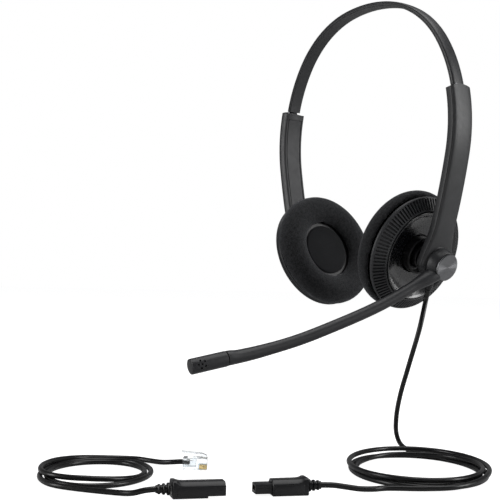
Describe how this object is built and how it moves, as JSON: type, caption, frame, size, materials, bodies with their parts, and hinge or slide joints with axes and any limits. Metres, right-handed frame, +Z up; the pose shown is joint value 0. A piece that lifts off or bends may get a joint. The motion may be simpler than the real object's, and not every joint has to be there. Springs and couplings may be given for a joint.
{
  "type": "office headset",
  "caption": "Corded office headset with two padded ear cups, a slim headband, a swinging boom microphone and a detachable lead to a telephone plug.",
  "frame": {"origin": "the middle of the underside of the headband's crown, where it rests on the head", "axes": "+Z up, the wearer faces -Y, +X is the wearer's left"},
  "size_m": [0.1586, 0.2091, 0.2353],
  "materials": {
    "band_plastic": "satin",
    "arm_plastic": "satin",
    "cover_plastic": "satin",
    "screw_steel": "satin",
    "gloss_plastic": "gloss",
    "vent_plastic": "satin",
    "inner_plastic": "matt",
    "driver_steel": "satin",
    "cloth": "woven",
    "foam_cover": "foam",
    "boom_plastic": "satin",
    "spun_cap": "spun",
    "cord_jacket": "satin",
    "plug_plastic": "satin",
    "clear_plastic": "clear",
    "gold_contact": "polished"
  },
  "bodies": {
    "headband": {"headband": "band_plastic", "headset_cord_hang": "cord_jacket", "headset_cord_coil": "cord_jacket", "headset_cord_lead": "cord_jacket", "plug_body": "plug_plastic", "plug_contact_1": "gold_contact", "plug_contact_2": "gold_contact", "plug_contact_3": "gold_contact", "plug_strain_relief": "cord_jacket"},
    "left_arm": {"left_arm_shell": "arm_plastic", "left_arm_cover": "cover_plastic", "left_cover_screw": "screw_steel", "cord_gland": "cord_jacket", "boom_screw": "screw_steel"},
    "right_arm": {"right_arm_shell": "arm_plastic", "right_arm_cover": "cover_plastic", "right_cover_screw": "screw_steel", "right_hub_cap": "spun_cap"},
    "left_gimbal": {"left_pivot_ball": "inner_plastic"},
    "right_gimbal": {"right_pivot_ball": "inner_plastic"},
    "left_cup": {"left_cup_shell": "gloss_plastic", "left_vent_ring": "vent_plastic", "left_ball_socket": "inner_plastic", "left_baffle": "inner_plastic", "left_driver_basket": "driver_steel", "left_driver_magnet": "driver_steel", "left_driver_cone": "inner_plastic", "left_cloth_disc": "cloth", "left_cushion": "foam_cover"},
    "right_cup": {"right_cup_shell": "gloss_plastic", "right_vent_ring": "vent_plastic", "right_ball_socket": "inner_plastic", "right_baffle": "inner_plastic", "right_driver_basket": "driver_steel", "right_driver_magnet": "driver_steel", "right_driver_cone": "inner_plastic", "right_cloth_disc": "cloth", "right_cushion": "foam_cover"},
    "boom": {"boom_tube": "boom_plastic", "boom_cap": "spun_cap", "mic_capsule": "boom_plastic", "mic_element": "driver_steel"},
    "phone_lead": {"phone_lead_coil": "cord_jacket", "phone_lead_socket_cord": "cord_jacket", "phone_lead_plug_cord": "cord_jacket", "socket_body": "plug_plastic", "socket_blade": "gold_contact", "socket_strain_relief": "cord_jacket", "telephone_plug_body": "clear_plastic", "telephone_contact_1": "gold_contact", "telephone_contact_2": "gold_contact", "telephone_contact_3": "gold_contact", "telephone_contact_4": "gold_contact"},
    "plug_latch": {"telephone_plug_latch": "clear_plastic"}
  },
  "joints": [
    {"name": "left_arm_slide", "type": "slide", "parent": "headband", "child": "left_arm", "axis": [0, 0, -1], "range_m": [0, 0.027], "deforming": ["headset_cord_hang"]},
    {"name": "right_arm_slide", "type": "slide", "parent": "headband", "child": "right_arm", "axis": [0, 0, -1], "range_m": [0, 0.027]},
    {"name": "left_cup_tilt", "type": "hinge", "parent": "left_arm", "child": "left_gimbal", "pos_m": [0.04078, 0, -0.13005], "axis": [0, 1, 0], "range_deg": [-9, 9]},
    {"name": "left_cup_swivel", "type": "hinge", "parent": "left_gimbal", "child": "left_cup", "pos_m": [0.04078, 0, -0.13005], "axis": [0.3256, 0, 0.9455], "range_deg": [-9, 9]},
    {"name": "right_cup_tilt", "type": "hinge", "parent": "right_arm", "child": "right_gimbal", "pos_m": [-0.04078, 0, -0.13005], "axis": [0, 1, 0], "range_deg": [-9, 9]},
    {"name": "right_cup_swivel", "type": "hinge", "parent": "right_gimbal", "child": "right_cup", "pos_m": [-0.04078, 0, -0.13005], "axis": [-0.3256, 0, 0.9455], "range_deg": [-9, 9]},
    {"name": "boom_turn", "type": "hinge", "parent": "left_arm", "child": "boom", "pos_m": [0.05269, 0, -0.13415], "axis": [-0.9455, 0, 0.3256], "range_deg": [-25, 240]},
    {"name": "plug_mate", "type": "slide", "parent": "headband", "child": "phone_lead", "axis": [0.3891, 0.9212, 0], "range_m": [0, 0.0195]},
    {"name": "plug_latch_press", "type": "hinge", "parent": "phone_lead", "child": "plug_latch", "pos_m": [-0.01131, -0.09546, -0.2264], "axis": [0.7869, -0.617, 0], "range_deg": [0, 8], "stiffness_Nm_per_rad": 0.05}
  ]
}
